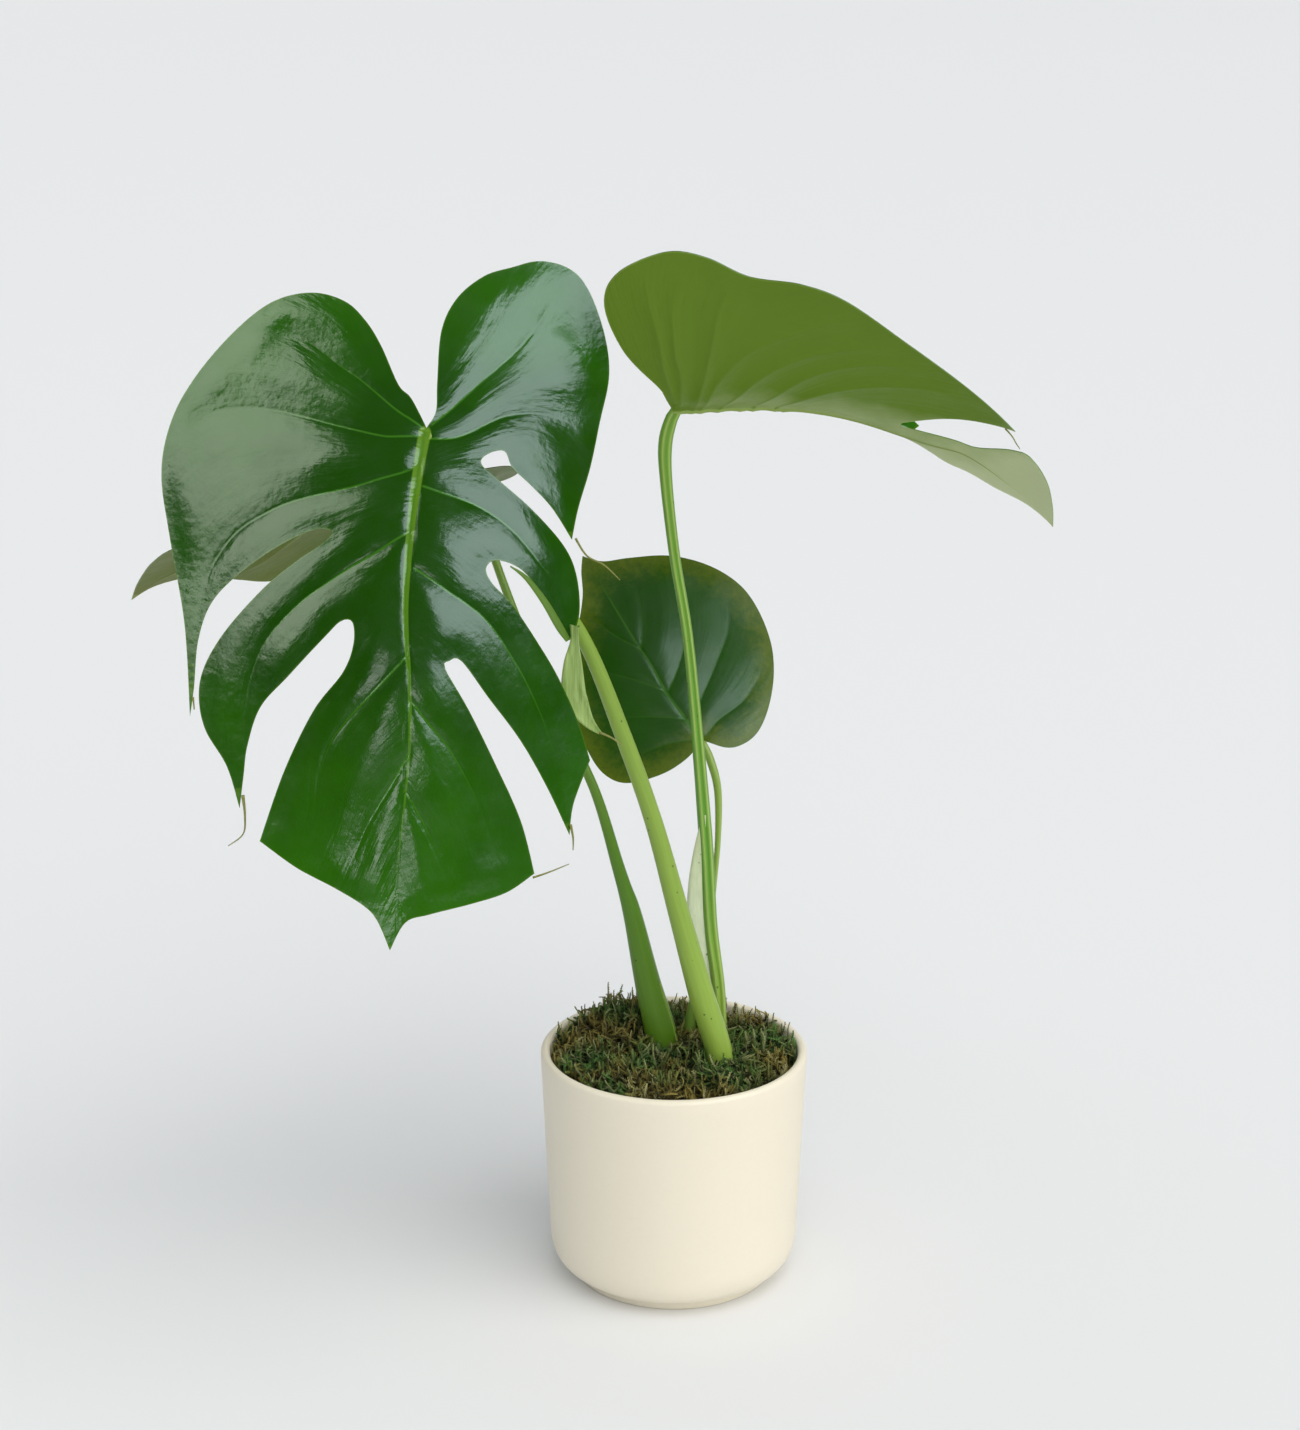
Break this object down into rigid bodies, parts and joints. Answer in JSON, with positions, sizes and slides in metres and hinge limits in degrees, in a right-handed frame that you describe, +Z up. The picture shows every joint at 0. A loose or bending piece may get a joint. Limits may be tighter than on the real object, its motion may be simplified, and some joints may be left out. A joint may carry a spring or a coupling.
{
  "type": "potted monstera plant",
  "caption": "Young split-leaf monstera plant in a round glazed pot, with growing medium, a moss dressing, leaf stalks and leaves as separate solids.",
  "frame": {"origin": "centre of the pot's base, on the surface that the pot stands on", "axes": "+Z up along the pot's axis, -Y towards the front of the plant, +X to the right seen from the front"},
  "size_m": [0.4376, 0.268, 0.5057],
  "materials": {
    "glazed_pot": "satin cream glaze",
    "growing_medium": "peat and bark, matt",
    "dried_moss": "dried moss strands, matt",
    "root_stock": "corky green stem",
    "young_stalk": "smooth light green, satin",
    "dark_stalk": "smooth mid green, satin",
    "glossy_leaf": "waxy dark green, glossy",
    "olive_leaf": "olive green underside, satin",
    "grey_green_leaf": "grey-green underside, satin",
    "young_leaf": "dark green with olive margins, semi-gloss"
  },
  "bodies": {
    "root": {"pot": "glazed_pot", "soil": "growing_medium", "moss": "dried_moss", "stem_crown": "root_stock", "bud_sheath": "dark_stalk", "petiole_front": "young_stalk", "petiole_right": "young_stalk", "petiole_back": "dark_stalk", "petiole_small": "young_stalk", "leaf_front": "glossy_leaf", "leaf_right": "olive_leaf", "leaf_back": "grey_green_leaf", "leaf_small": "young_leaf"}
  },
  "joints": []
}
